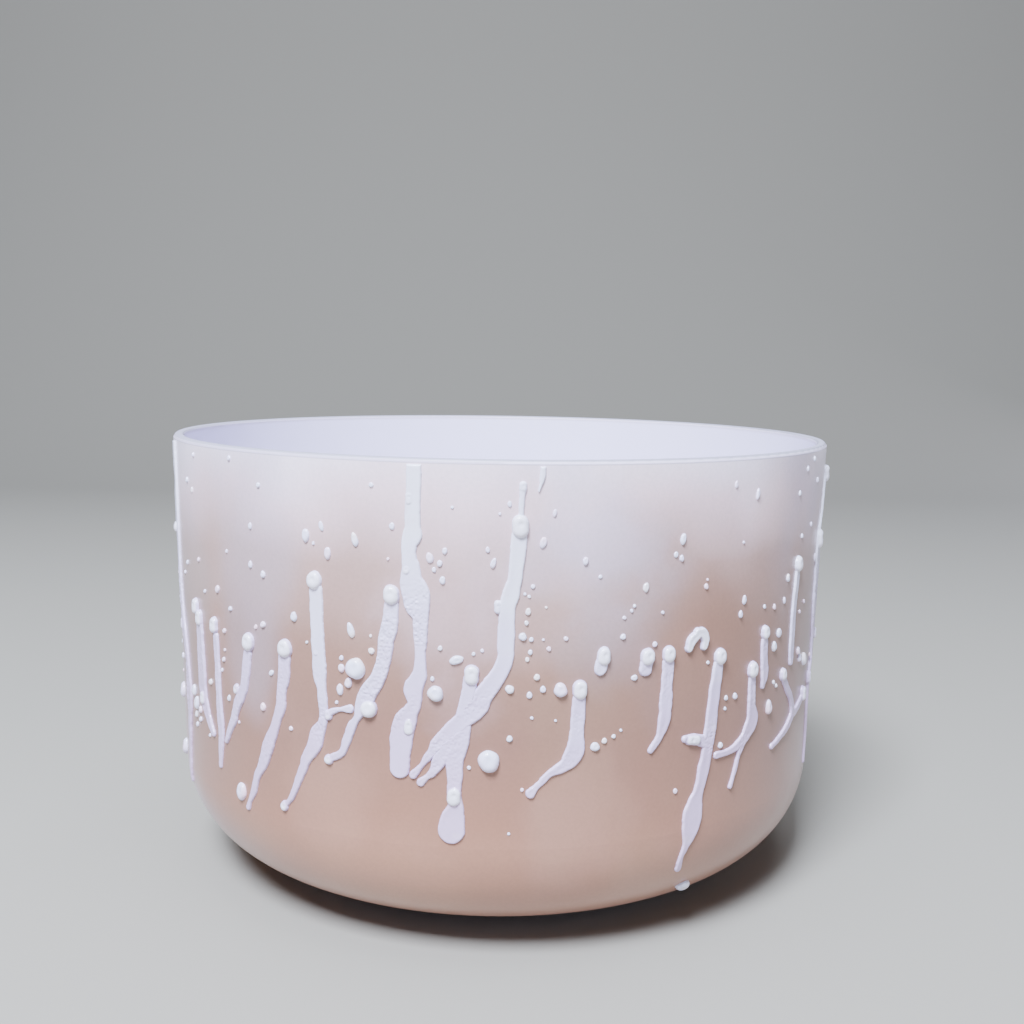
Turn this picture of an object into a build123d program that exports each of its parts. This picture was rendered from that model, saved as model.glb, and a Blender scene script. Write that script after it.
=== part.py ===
"""A fused-quartz singing bowl that stands on a rubber O-ring and carries raised runs and droplets of
white relief lacquer on its pearl-coated outside.

Millimetres. +Z is up. The origin is on the table, under the bowl's axis. A place on the wall is an
azimuth, in degrees from the front (-Y) and positive towards +X, with a height above the table.
"""

import os
from math import atan2, cos, degrees, radians, sin, sqrt, tan

from build123d import *

# Quartz bowl
RIM_DIAMETER = 254.0
BOWL_HEIGHT = 158.2
WALL_THICKNESS = 3.5
WALL_LEAN = 1.26  # degrees by which the wall opens outwards
CORNER_RADIUS = 36.6  # outside, between the wall and the flat base
LIP_ROUNDING = 1.0

# Rubber O-ring, pressed a little flat where it touches the table and the base
RING_CORD_DIAMETER = 8.6
RING_HEIGHT = 8.0
RING_CENTRELINE_RADIUS = 60.0

# Pearl coat over the outside of the bowl
COAT_THICKNESS = 0.3
COAT_BARE_LIP = 1.2  # bare quartz left above the coat
COAT_BARE_FOOT = 0.6  # bare quartz left below the coat

# Relief lacquer
RUN_THICKNESS = 0.7
RUN_BARE_LIP = 1.8  # the runs that start at the rim are trimmed this far below the lip
BEAD_RISE = 0.4  # how far a bead stands out, as a share of its width
ROUND_BEAD = 0.125  # a bead whose length and width differ by less than this share of its width is round
TIP_REACH = 0.42  # how far a run's blunt tip goes past its last point, as a share of its width
TIP_HALF_WIDTH = 0.25  # half the width of that tip, as a share of the run's width

BASE = RING_HEIGHT
LIP = BASE + BOWL_HEIGHT
COAT_FOOT = BASE - COAT_THICKNESS  # level that the coat's rounded corner runs down to
REACH = RIM_DIAMETER  # longer than anything that is cut with it


def wall_radius(height):
    """Radius of the coat's conical outside, carried on down to any height."""
    return RIM_DIAMETER / 2 - (LIP - height) * tan(radians(WALL_LEAN))


CORNER_HEIGHT = COAT_FOOT + CORNER_RADIUS  # centre of the corner's arc
CORNER_CENTRE = wall_radius(CORNER_HEIGHT) - CORNER_RADIUS / cos(radians(WALL_LEAN))


def wall_point(height):
    """The radius of the coat's outside at a height, and how many degrees it faces above level there."""
    below = CORNER_HEIGHT - height
    if below <= CORNER_RADIUS * sin(radians(WALL_LEAN)):
        return wall_radius(height), -WALL_LEAN
    across = sqrt(CORNER_RADIUS**2 - below**2)
    return CORNER_CENTRE + across, -degrees(atan2(below, across))


def wall_plane(azimuth, height):
    """The plane that touches the coat at a place, with X along the rim and Z outwards."""
    radius, slope = wall_point(height)
    turn = radians(azimuth)
    out = Vector(sin(turn), -cos(turn), 0)
    facing = out * cos(radians(slope)) + Vector(0, 0, sin(radians(slope)))
    return Plane(origin=out * radius + Vector(0, 0, height), x_dir=(cos(turn), sin(turn), 0), z_dir=facing)


def filled_bowl(outset):
    """The bowl as one filled solid, its outside moved out from the coat's surface by outset."""
    foot = COAT_FOOT - outset
    shift = outset / cos(radians(WALL_LEAN))
    outline = Polygon(
        (0, foot), (wall_radius(foot) + shift, foot), (wall_radius(LIP) + shift, LIP), (0, LIP), align=None
    )
    corner = outline.vertices().group_by(Axis.Y)[0].sort_by(Axis.X)[-1]
    outline = fillet(corner, CORNER_RADIUS + outset)
    return revolve(Plane.XZ * outline, Axis.Z)


def slab(bottom, top):
    """Everything between two heights."""
    return Pos(0, 0, bottom) * Cylinder(REACH, top - bottom, align=(Align.CENTER, Align.CENTER, Align.MIN))


def quartz_bowl():
    bowl = filled_bowl(-COAT_THICKNESS) - filled_bowl(-COAT_THICKNESS - WALL_THICKNESS)
    return fillet(bowl.edges().group_by(Axis.Z)[-1], LIP_ROUNDING)


def pearl_coat():
    skin = filled_bowl(0) - filled_bowl(-COAT_THICKNESS)
    return skin & slab(BASE + COAT_BARE_FOOT, LIP - COAT_BARE_LIP)


def rubber_o_ring():
    ring = Pos(0, 0, RING_HEIGHT / 2) * Torus(RING_CENTRELINE_RADIUS, RING_CORD_DIAMETER / 2)
    return ring & slab(0, RING_HEIGHT)


# Each drip is its runs and its beads. A run is a list of (azimuth, height, width), from its top down.
# A bead is (azimuth, height, width, length) and may add how far it is tilted, in degrees.
FRONT_DRIPS = {
    "front_drip_01": (
        [
            [
                (-11.8, 170, 4.6), (-11.8, 160, 4.8), (-12, 150, 4.8), (-12, 145, 5.2), (-12.1, 142.5, 6.2),
                (-12.5, 140, 5.3), (-12.5, 136, 5), (-12.2, 132, 6), (-12.2, 128.5, 7.4), (-11.6, 125, 8.8),
                (-11.4, 121.5, 8.4), (-10.9, 117.5, 5.3), (-10.9, 110, 4.5), (-10.9, 106, 3.4),
                (-11, 100, 4.5), (-11.5, 97, 5.6), (-11.9, 94.5, 6.3), (-11.8, 90, 4.7), (-12.4, 87, 5.3),
                (-13.2, 83.5, 7.6), (-13.7, 79, 7.8), (-13.9, 74, 6.9), (-14, 68.4, 6.4),
            ],
        ],
        [(-12.5, 154, 2.4, 4.2), (-12.9, 132, 2.8, 3.2), (-12.6, 82.5, 3.4, 5.6)],
    ),
    "front_drip_02": (
        [
            [(3.1, 158.3, 2.2), (3, 155, 1.8), (2.9, 149, 1.6)],
            [
                (2.75, 144, 4.8), (2.5, 137, 5), (2.15, 130, 4.5), (1.6, 125, 5.3), (1.2, 120, 4.8),
                (1.1, 110, 5.4), (1, 105, 5.2), (0.3, 101, 5.3), (-0.8, 97.2, 5.6), (-1.9, 93.8, 6.2),
                (-2.9, 89.6, 6.6), (-4.6, 86, 5.6), (-6.5, 82, 5), (-8.1, 78.5, 4.4), (-9.6, 73.8, 2.6),
                (-10.9, 69.7, 1.8), (-12, 66.8, 2.6),
            ],
        ],
        [(2.8, 146.3, 5.1, 7.3), (3.1, 158.3, 2.4, 3.4), (-0.1, 121.4, 2.3, 4.2)],
    ),
    "front_drip_03": ([[(5.8, 170, 1.9), (5.75, 162, 1.7), (5.3, 157, 0.8)]], []),
    "front_drip_04": (
        [
            [
                (-3.8, 98.5, 4.4), (-4.3, 92, 4.5), (-4.8, 87, 4.7), (-4.8, 82, 5), (-5.3, 77.5, 5.8),
                (-5.9, 73, 5.7), (-5.9, 67, 5), (-6, 62, 4.6), (-5.8, 57, 5.2), (-6.2, 53, 7.8),
                (-6.4, 49.5, 9),
            ],
            [(-6.4, 78.5, 4.5), (-8, 73, 4.6), (-9, 68.5, 3), (-10, 66.4, 1.7), (-10.9, 64.6, 2.6)],
        ],
        [(-3.65, 100, 4.7, 6.5), (-6, 60.7, 4.6, 6.4)],
    ),
    "front_drip_05": (
        [
            [
                (-15.1, 121, 4.6), (-15.3, 115, 5.5), (-15.9, 110, 5.3), (-16.2, 104, 4.8), (-16.9, 99, 5),
                (-17.5, 96, 5.2), (-18.5, 93, 5.8), (-19.2, 90, 6), (-19.9, 87, 4.5), (-20.6, 83.5, 2.6),
                (-21.5, 80, 3.3), (-22.3, 75.5, 3), (-23, 71.5, 2.6), (-24.9, 68.8, 2.4),
            ],
        ],
        [(-15.1, 124, 5.2, 6.3), (-15.6, 117, 2.2, 2.8), (-18.7, 87, 5.8, 5.8), (-25.4, 68.3, 3.4, 3.4)],
    ),
    "front_drip_06": (
        [
            [
                (-27.1, 123.5, 4.9), (-27, 112, 5), (-26.8, 102, 5.2), (-26.7, 96, 5), (-26.4, 91.5, 3.6),
                (-26.2, 84, 3.4), (-26.4, 80, 3.6), (-27.3, 76, 5.5), (-27.8, 72.5, 5.6), (-29.4, 67, 3.8),
                (-30.3, 62.5, 3.3), (-32.1, 54, 2.4), (-33.2, 50.6, 1.9), (-33.9, 49.2, 2),
            ],
            [(-25.6, 83.2, 2.4), (-24.2, 84.8, 2), (-23, 85.6, 1.7), (-21.7, 86.1, 2.8)],
        ],
        [(-27.3, 126.3, 5.3, 6.1), (-27.2, 103, 2.3, 2.5), (-25.3, 83, 2.8, 3.4), (-33.9, 49, 3.2, 3.6)],
    ),
    "front_drip_07": (
        [
            [
                (-33.2, 99.5, 5), (-33.4, 93, 5), (-33.9, 88.5, 4.1), (-34.2, 83, 4.3), (-35, 78, 3.8),
                (-35.8, 74, 4), (-36.7, 70, 5), (-37.6, 65.5, 5), (-38.5, 61, 4), (-39.8, 56.5, 3),
                (-40.7, 51, 2.8), (-41.8, 46.5, 1.9), (-42.3, 44, 2.4),
            ],
        ],
        [(-33, 102.5, 5.4, 6.2)],
    ),
    "front_drip_08": (
        [
            [
                (-41.3, 98, 4), (-41.9, 91, 4), (-42.4, 86, 4), (-43.4, 82.5, 4.4), (-44.5, 78.5, 4),
                (-45.6, 73, 3.4), (-46.6, 69.5, 3), (-47.4, 66.5, 2.4), (-48, 64, 1.6),
            ],
        ],
        [(-40.9, 102, 5.2, 6.2), (-44.4, 84.3, 3, 3.6)],
    ),
    "front_drip_09": (
        [
            [
                (-50.3, 100, 3.4), (-50, 88, 3.2), (-50, 80, 3.4), (-49.8, 72, 4.2), (-49.6, 66, 3.8),
                (-49.9, 60, 3), (-50.2, 54, 1.8),
            ],
        ],
        [(-50.6, 104, 4.2, 6)],
    ),
    "front_drip_10": (
        [
            [
                (-56.4, 101.5, 5), (-56.4, 93, 5.8), (-56.2, 85, 6.2), (-56.2, 79, 6.4), (-55.8, 75, 6),
                (-54.2, 69.5, 4), (-52.4, 64.5, 2.6),
            ],
        ],
        [(-57.9, 107.8, 4.2, 5.8), (-56.3, 104.2, 4.2, 6), (-55.8, 75.6, 3.8, 5.4)],
    ),
    "front_drip_11": (
        [
            [
                (-69.8, 170, 5), (-69.6, 150, 4.6), (-69.6, 133, 5.2), (-69.3, 118, 4.2), (-68.8, 108, 4.6),
                (-67.6, 98, 5.6), (-66, 91, 4.6), (-65, 85, 4), (-64.8, 78, 6.4), (-64.6, 73, 7.8),
                (-64.8, 67, 6), (-65, 62, 4.2), (-65.8, 50, 3.4), (-66.6, 38, 2.6),
            ],
        ],
        [(-70.2, 132.5, 4.4, 4.4), (-68.2, 97, 3, 4.6)],
    ),
    "front_drip_12": ([[(14.9, 104, 4.2), (14.6, 101.4, 4.1)]], [(15.1, 105.4, 4.4, 6)]),
    "front_drip_13": ([[(21.8, 102.6, 4.6), (21.6, 100.2, 4.4)]], [(21.9, 104.2, 4.8, 5.6)]),
    "front_drip_14": (
        [
            [
                (25.4, 101.5, 4.3), (25.3, 95, 4.2), (25.3, 90, 4.6), (25.2, 85, 4.7), (25, 81.5, 4.2),
                (24.6, 78.5, 3), (24, 76, 2.3), (23, 73.2, 2.2),
            ],
        ],
        [(25.4, 104.3, 4.7, 5.6)],
    ),
    "front_drip_15": (
        [
            [(30.5, 110, 3.4), (29.3, 108, 3.2), (28.8, 105.4, 2.4)],
            [(30.3, 110.2, 3.4), (31.3, 109.8, 3.6), (31.8, 107.6, 3), (31.6, 105.4, 2.4)],
        ],
        [],
    ),
    "front_drip_16": (
        [
            [
                (34.8, 98.5, 4.2), (34.4, 91, 4.6), (34.1, 84, 4.9), (33.8, 76, 5), (33.5, 70.5, 4.6),
                (33, 65, 4.8), (32.5, 60, 4.4), (32.1, 56.5, 4.2), (31.6, 53.5, 5.6), (31.2, 49, 8.2),
                (31, 45.5, 7.6), (30.7, 41.5, 5), (30.3, 38.5, 3), (29.8, 34.5, 1.9), (29.9, 29.5, 2.5),
            ],
            [(33.4, 72.5, 4.2), (31.6, 74, 3.8), (30.4, 74.8, 3.4), (29, 75.2, 2.6)],
        ],
        [(35, 101.1, 4.8, 5.6), (30.5, 74.6, 3.8, 6.2, 82)],
    ),
    "front_drip_17": (
        [
            [
                (42.8, 91.5, 3.8), (43, 82, 3.8), (43.3, 79, 5), (43.5, 76, 6.4), (42.6, 73, 5.6),
                (41.4, 70.3, 4.2), (39.8, 68.5, 3), (37.8, 67.5, 2.4), (35.4, 67.3, 2.4),
            ],
            [(41.9, 71.5, 4), (40.6, 66, 2.1), (39.9, 61, 1.7), (39.4, 58, 1.5), (38.9, 55, 1.8)],
        ],
        [(42.7, 94, 4.8, 5.8)],
    ),
    "front_drip_18": (
        [[(45.6, 103, 3.6), (45.8, 96, 3.8), (46.2, 91, 3.9), (45.8, 87, 2)]],
        [(45.6, 105.8, 4.2, 5)],
    ),
    "front_drip_19": (
        [
            [
                (11.65, 92, 4.3), (11.5, 84, 4.6), (11.4, 79, 5), (11.2, 75.3, 6.2), (10.6, 72.8, 5.6),
                (9.8, 71, 4.2), (8.6, 69.3, 3), (7.4, 67.8, 2.4), (5.8, 64.2, 2), (4.9, 62, 3.1),
            ],
        ],
        [(11.7, 95, 4.7, 6.3), (12, 85.3, 1.7, 1.9)],
    ),
    "front_drip_20": (
        [[(55.6, 124, 3.6), (55, 110, 3.5), (55.1, 98, 3.6), (55.2, 91.5, 3)]],
        [(55.6, 126.6, 4.6, 5.6)],
    ),
    "front_drip_21": (
        [
            [
                (52.6, 87, 3), (54.5, 82, 3), (56.6, 77, 3), (57.4, 71.5, 3.4), (55.2, 67.5, 3),
                (53, 65.5, 2.6), (51, 64, 2), (50, 63.5, 2.4),
            ],
            [(62.5, 74.5, 3), (60, 72.2, 3), (57.6, 71, 3)],
        ],
        [(52.3, 88.3, 3.8, 4.6), (63, 76, 4.2, 5.8)],
    ),
    "front_drip_22": (
        [
            [
                (74, 153, 3), (72, 148, 1.9), (70.6, 141, 1.8), (69, 135.5, 3), (68.6, 130, 6),
                (68.8, 124, 8.2), (69, 115, 8.6), (69.2, 106, 8.2), (69.6, 98, 6.4), (69.6, 92, 3.6),
                (69.4, 86, 2.8), (68, 79, 2.6), (68.6, 66, 2), (69.2, 55, 1.6), (69.3, 46, 2),
            ],
        ],
        [(74.4, 154.8, 4.4, 6.8), (68.4, 131.8, 5, 7.2), (71.1, 95, 3.8, 4.8), (67.7, 79.6, 3.4, 5.4)],
    ),
}

# Where two drips cross, the first lies over the second, which is left out under it.
CROSSINGS = [("front_drip_02", "front_drip_04")]

# The back repeats the kinds of drip on the front. Each entry is the front drip it follows, the azimuth of
# its head, how far it is raised, and whether its course is mirrored.
BACK_DRIPS = [
    ("front_drip_07", 96, 6, False), ("front_drip_06", 108, -3, False), ("front_drip_14", 118, 4, True),
    ("front_drip_16", 125, 7, True), ("front_drip_01", 137, 0, False), ("front_drip_08", 144, 9, True),
    ("front_drip_04", 157, 3, True), ("front_drip_02", 169, 0, True), ("front_drip_09", 188, 12, False),
    ("front_drip_19", 193, 6, True), ("front_drip_06", 211, 2, False), ("front_drip_14", 221, 9, False),
    ("front_drip_17", 227, -2, True), ("front_drip_05", 239, -6, True), ("front_drip_01", 256, 0, True),
    ("front_drip_16", 267, 2, False), ("front_drip_09", 273, -5, True),
]

# Loose droplets on the front: (azimuth, height, width, length), with a tilt in degrees where they lean.
FRONT_DROPLETS = [
    (-20.7, 99.5, 6.4, 7), (-23, 99, 2.4, 2.6), (-21.9, 94.5, 2.6, 3.2), (-1.1, 72.5, 6.6, 7.4),
    (-8.75, 93.6, 4.9, 5.1), (-5.8, 104.5, 2.6, 4.8, -76), (-21.4, 111.5, 2.3, 5.2, 20),
    (8.9, 95.2, 4.4, 4.4), (1.7, 95.6, 2.8, 2.8), (14.2, 76.3, 3, 3), (48.1, 78.5, 3.2, 5),
    (33.7, 19.5, 4.6, 5.4, 90), (62.2, 89.4, 3.3, 4.8), (59.5, 91, 2.3, 2.8), (50, 104, 2.6, 3.4),
    (48.7, 99.7, 2.6, 3.4),
    (-44.5, 162.3, 1.6, 2), (-56.5, 161.5, 1.5, 1.5), (-37.7, 154.7, 1.6, 1.8), (-57.8, 149, 1.5, 2),
    (-18.7, 162, 1.4, 3.4, 8), (-18, 157.5, 1.5, 1.7), (-39.8, 141, 1.6, 2.2), (-26, 143.7, 1.6, 3.2, 20),
    (-28.7, 140.3, 2.8, 4.2), (-20.6, 140.3, 2.2, 4.4, 14), (-25, 135.3, 2.5, 3.8), (-27.4, 138, 1, 1.2),
    (-46, 131, 1.2, 1.3), (-40, 128.2, 1.8, 2.4), (-37.2, 125.7, 2, 2.4, 25), (-15, 145.2, 1.7, 2.4),
    (-15.6, 135, 1, 1), (-62, 122, 1.5, 1.7), (-53.8, 114.6, 1.4, 1.4), (-49.2, 117, 2.2, 2.8),
    (-45.5, 111.6, 1.7, 1.7), (-31.2, 113.5, 2.4, 3.2), (-37.5, 109, 2.2, 2.2), (-39.2, 107.6, 1.6, 1.6),
    (-47.5, 103.2, 1.8, 1.8), (-47.6, 96.5, 1.2, 1.2), (-48, 93, 1.6, 1.8), (-48.7, 89, 1.2, 1.3),
    (-36, 93.3, 1.8, 2.2, -50), (-28.9, 105.8, 1, 1), (-18.2, 105.6, 2.1, 2.1, 40), (-18.3, 110.4, 1, 1.1),
    (-23, 102.3, 1.6, 1.6), (-23.3, 92, 2.4, 3.6), (-23.9, 87.6, 1.2, 1.2), (-38, 81, 2.4, 2.8),
    (-32.3, 76, 1.6, 1.6), (-44.2, 72.8, 1, 1.1), (-60, 63.3, 1.8, 2), (-54, 62.8, 1.4, 1.4),
    (-52.8, 82.8, 2, 2.2), (-46.8, 80, 1.8, 2.2), (-61, 75.5, 3, 4.2),
    (-6.5, 151.7, 1, 1.1), (1.3, 153, 1.3, 2), (0, 150, 0.9, 1), (7.5, 150.3, 1.2, 2.6, -8),
    (6, 141.3, 2.1, 3.8, -14), (-7.5, 138.3, 1.6, 2.2), (-1.6, 139, 1.4, 1.9), (-9.6, 136, 2.3, 3.5, 10),
    (-8.2, 134.4, 1.7, 2.2), (-0.8, 134.9, 1.8, 3.3, -14), (-9, 132.4, 1.3, 1.8), (12, 135.5, 1.8, 2.6),
    (-7.8, 129.2, 1.8, 2.7), (14.2, 130.5, 1.3, 1.3), (4.7, 127.8, 1.4, 1.5), (3.6, 125.5, 1, 1),
    (4.2, 124.7, 1.1, 1.1), (6.6, 121.3, 0.9, 0.9), (4.1, 120, 1.8, 2.3), (3.9, 116.5, 1.4, 1.5),
    (3.4, 112.2, 2.4, 2.6), (4.6, 111.3, 1.5, 1.5), (6.3, 111.2, 0.9, 0.9), (9.5, 111.4, 1.5, 1.5),
    (7.1, 108.3, 1.5, 1.6), (4.5, 107.3, 1.5, 1.6), (4.1, 105, 1.4, 1.5), (-2.2, 107.7, 1.2, 1.2),
    (-3.4, 106.6, 1.2, 1.2), (-8.1, 108, 1.6, 1.6), (5.5, 99.4, 2, 2), (-9.2, 98.2, 1.4, 1.5),
    (6.4, 95.5, 2, 2.1), (4.5, 93.7, 1.9, 2.1), (4.9, 86.4, 1.1, 1.1), (8.3, 85.4, 0.9, 0.9),
    (1.8, 79.8, 2, 2), (-3.9, 70.2, 1.3, 1.3), (3.7, 63.2, 1.2, 1.2), (1.9, 48.8, 1, 1),
    (15.6, 78, 1.8, 1.8), (17, 79.2, 1.4, 1.4), (18.1, 81, 1, 1), (36.6, 157.2, 1.3, 2.6),
    (41.6, 153.5, 1.6, 3.8, -8), (54.5, 151.5, 1.5, 2), (57.4, 159.5, 1.3, 2), (27, 141, 2.1, 3.6, -8),
    (25.9, 136.2, 1.5, 2), (26.9, 134.9, 1.5, 2.3), (56.7, 136, 1.4, 1.8), (38.9, 138, 1, 1),
    (21.2, 126.4, 2, 3.2, -14), (31.6, 125, 1.5, 2), (31.8, 127.2, 0.9, 0.9), (39.8, 118.6, 1.7, 3.2),
    (39.1, 114, 1.7, 2.6, -8), (19.5, 120.8, 1.1, 1.1), (19.1, 119.3, 1.1, 1.2), (18, 117.2, 1.3, 1.3),
    (24.1, 118, 1.2, 1.2), (17.9, 111.2, 1.9, 1.9), (23, 108, 1.7, 1.7), (45.1, 114.8, 1.3, 1.5),
    (48, 113.8, 1.3, 2.2), (58, 108.5, 1.3, 1.5), (32.7, 99.7, 1.2, 1.2), (19.9, 97.7, 1.8, 2.3, 90),
    (36.9, 86.4, 1.6, 1.7), (38.9, 86.3, 1.9, 2.2), (36.8, 82.8, 1.1, 1.2), (36.2, 70.5, 1.9, 2),
    (27.7, 58.1, 1.5, 2), (49.3, 86.8, 1.4, 1.5), (50.2, 85.2, 1.4, 1.4), (52, 122.6, 1.8, 3),
    (51.2, 115, 1.4, 2.4), (-74, 68, 4.4, 6.4), (-74, 45.5, 4.6, 6.6), (-59.6, 71.6, 3.2, 4.6),
    (-60.2, 67, 2, 2.6),
]
# The back has the same scatter of droplets, turned by these angles and read the other way round.
BACK_TURNS = (118, -118)
BACK_RAISE = 3.0
DROPLET_GAP = 0.3  # least distance between a droplet and its neighbours

SECTORS = ["front", "front_right", "back_right", "back", "back_left", "front_left"]


def outline_of(run, middle):
    """The outline of a run, unrolled on the plane that faces the azimuth middle."""
    spine = [
        Vector(wall_radius(height) * sin(radians(azimuth - middle)), height) for azimuth, height, _ in run
    ]
    sides = ([], [])
    for i, (_, _, width) in enumerate(run):
        along = (spine[min(i + 1, len(run) - 1)] - spine[max(i - 1, 0)]).normalized()
        across = Vector(-along.Y, along.X) * (width / 2)
        sides[0].append(spine[i] + across)
        sides[1].append(spine[i] - across)
    ends = tip(spine[-1], spine[-2], run[-1][2]), tip(spine[0], spine[1], run[0][2])
    return Polygon(*sides[0], *ends[0], *reversed(sides[1]), *ends[1], align=None)


def tip(end, inner, width):
    """The two corners of a run's blunt tip, which points away from the next point inwards."""
    along = (end - inner).normalized()
    across = Vector(-along.Y, along.X)
    return [end + (along * TIP_REACH + across * (side * TIP_HALF_WIDTH)) * width for side in (1, -1)]


def ribbon(run):
    """A run as a ribbon of even thickness that lies on the coat."""
    middle = sum(azimuth for azimuth, _, _ in run) / len(run)
    turn = radians(middle)
    out = Vector(sin(turn), -cos(turn), 0)
    plane = Plane(origin=out * CORNER_CENTRE, x_dir=(cos(turn), sin(turn), 0), z_dir=out)
    outward = RIM_DIAMETER / 2 + WALL_THICKNESS - CORNER_CENTRE
    return extrude(plane * outline_of(run, middle), outward, dir=out) & RUN_LAYER


def bead(azimuth, height, width, length, tilt=0.0, sunk=0.0):
    """A domed bead with a flat base: a spherical cap, drawn out to its length if it is longer than wide."""
    rise = BEAD_RISE * width
    radius = (width**2 / 4 + rise**2) / (2 * rise)
    stretch = max(length - width, 0)
    half = Pos(0, rise - radius) * Circle(radius) & Pos(width / 4, rise / 2) * Rectangle(width / 2, rise)
    place = wall_plane(azimuth, height) * Pos(0, 0, -sunk) * Rot(0, 0, tilt)
    if stretch < ROUND_BEAD * width:
        return place * revolve(Plane.XZ * half, Axis.Z)
    middle = extrude(Plane.XZ * (half + mirror(half, Plane.YZ)), stretch / 2, both=True)
    ends = [
        Pos(0, side * stretch / 2, 0) * revolve(Plane.XZ * half, Axis.Z, revolution_arc=side * 180)
        for side in (-1, 1)
    ]
    return place * (middle + ends)


def drip(runs, beads):
    """One drip as one solid on the coat, its beads let into its runs."""
    pieces = [ribbon(run) for run in runs] + [bead(*place, sunk=-RUN_THICKNESS / 3) for place in beads]
    return pieces[0] + pieces[1:]


def moved(places, turn, rise, mirrored):
    """The same places with their azimuths mirrored if asked, then turned, and their heights raised."""
    side = -1 if mirrored else 1
    return [
        (turn + side * azimuth, height + rise, *sizes[:2], *(side * tilt for tilt in sizes[2:]))
        for azimuth, height, *sizes in places
    ]


def back_drip(pattern, azimuth, rise, mirrored):
    """The runs and beads of a drip on the back."""
    runs, beads = FRONT_DRIPS[pattern]
    head = (beads or runs[0])[0][0]
    turn = azimuth + head if mirrored else azimuth - head
    return [moved(run, turn, rise, mirrored) for run in runs], moved(beads, turn, rise, mirrored)


def strokes_of(runs, beads):
    """What a drip covers: (start, end, width) for each stretch of its runs and for each bead."""
    stretches = [(start, end, max(start[2], end[2])) for run in runs for start, end in zip(run, run[1:])]
    return stretches + [(place, place, place[3]) for place in beads]


def distance_between(place, start, end):
    """How far a place on the wall is from the stretch from start to end, with the wall unrolled."""
    first, along = (
        complex(RIM_DIAMETER / 2 * radians(turn), rise)
        for turn, rise in (
            ((start[0] - place[0] + 180) % 360 - 180, start[1] - place[1]),
            (end[0] - start[0], end[1] - start[1]),
        )
    )
    share = min(max(-(first * along.conjugate()).real / abs(along) ** 2, 0), 1) if along else 0
    return abs(first + along * share)


def droplet_groups(drips):
    """The droplets that lie clear of the drips, by the sixth of the bowl that they are on."""
    everywhere = list(FRONT_DROPLETS)
    for turn in BACK_TURNS:
        everywhere += moved(FRONT_DROPLETS, turn, BACK_RAISE, True)
    taken = [stroke for runs, beads in drips for stroke in strokes_of(runs, beads)]
    groups = {name: [] for name in SECTORS}
    for place in everywhere:
        clear = all(
            distance_between(place, start, end) > (place[3] + width) / 2 + DROPLET_GAP
            for start, end, width in taken
        )
        if clear and place[1] + place[3] < LIP - COAT_BARE_LIP:
            groups[SECTORS[round(place[0] / (360 / len(SECTORS))) % len(SECTORS)]].append(place)
            taken.append((place, place, place[3]))
    return groups


RUN_LAYER = (filled_bowl(RUN_THICKNESS) - filled_bowl(0)) & slab(BASE, LIP - RUN_BARE_LIP)


def main():
    os.makedirs("parts", exist_ok=True)
    drips = dict(FRONT_DRIPS)
    for number, entry in enumerate(BACK_DRIPS, 1):
        drips[f"back_drip_{number:02}"] = back_drip(*entry)
    nodes = {"quartz_bowl": quartz_bowl(), "pearl_coat": pearl_coat(), "rubber_o_ring": rubber_o_ring()}
    for name, (runs, beads) in drips.items():
        nodes[name] = drip(runs, beads)
    for over, under in CROSSINGS:
        nodes[under] -= nodes[over]
    for name, places in droplet_groups(drips.values()).items():
        nodes[f"droplets_{name}"] = Compound([bead(*place).solid() for place in places])
    for name, shape in nodes.items():
        export_step(shape, f"parts/{name}.step")


main()
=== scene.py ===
"""Looks of the fused-quartz singing bowl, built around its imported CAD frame.

The quartz bowl, its pearl coat and the O-ring keep their CAD shapes. Each run and each group of droplets of
relief lacquer is replaced by a finer mesh of its own. Places on the wall are, as in the CAD, an azimuth in
degrees from the front (-Y), positive towards +X, with a height above the table in millimetres.
"""

from math import cos, radians, sin, sqrt, tan

import bpy
import numpy as np
from mathutils import Matrix, Vector


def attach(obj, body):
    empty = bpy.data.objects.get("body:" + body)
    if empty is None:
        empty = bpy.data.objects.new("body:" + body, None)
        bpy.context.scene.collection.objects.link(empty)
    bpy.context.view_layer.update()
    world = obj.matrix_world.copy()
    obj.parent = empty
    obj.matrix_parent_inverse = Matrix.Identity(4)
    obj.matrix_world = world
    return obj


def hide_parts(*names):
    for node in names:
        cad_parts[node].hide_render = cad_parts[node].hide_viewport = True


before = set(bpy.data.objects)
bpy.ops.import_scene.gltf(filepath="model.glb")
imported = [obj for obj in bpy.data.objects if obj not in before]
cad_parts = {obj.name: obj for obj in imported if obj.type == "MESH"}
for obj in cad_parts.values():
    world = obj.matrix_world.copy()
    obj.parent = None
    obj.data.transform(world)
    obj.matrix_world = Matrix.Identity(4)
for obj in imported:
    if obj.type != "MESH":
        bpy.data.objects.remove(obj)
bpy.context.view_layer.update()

MM = 0.001

# The wall that the lacquer lies on, in millimetres, as in the CAD
RIM_DIAMETER = 254.0
LIP = 166.2
WALL_LEAN = radians(1.26)
CORNER_RADIUS = 36.6
CORNER_HEIGHT = 44.3
COAT_BARE_LIP = 1.2
RUN_BARE_LIP = 1.8
CORNER_CENTRE = RIM_DIAMETER / 2 - (LIP - CORNER_HEIGHT) * tan(WALL_LEAN) - CORNER_RADIUS / cos(WALL_LEAN)

# Relief lacquer, in millimetres
GRID = 0.2  # spacing of a drip's mesh
RUN_THICKNESS = 0.72
SHOULDER = 0.62  # width of a run's rounded edge
SUNK = 0.12  # how far the lacquer's underside goes into the coat
EDGE_WOBBLE = 0.16  # how far the outline wanders

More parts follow.
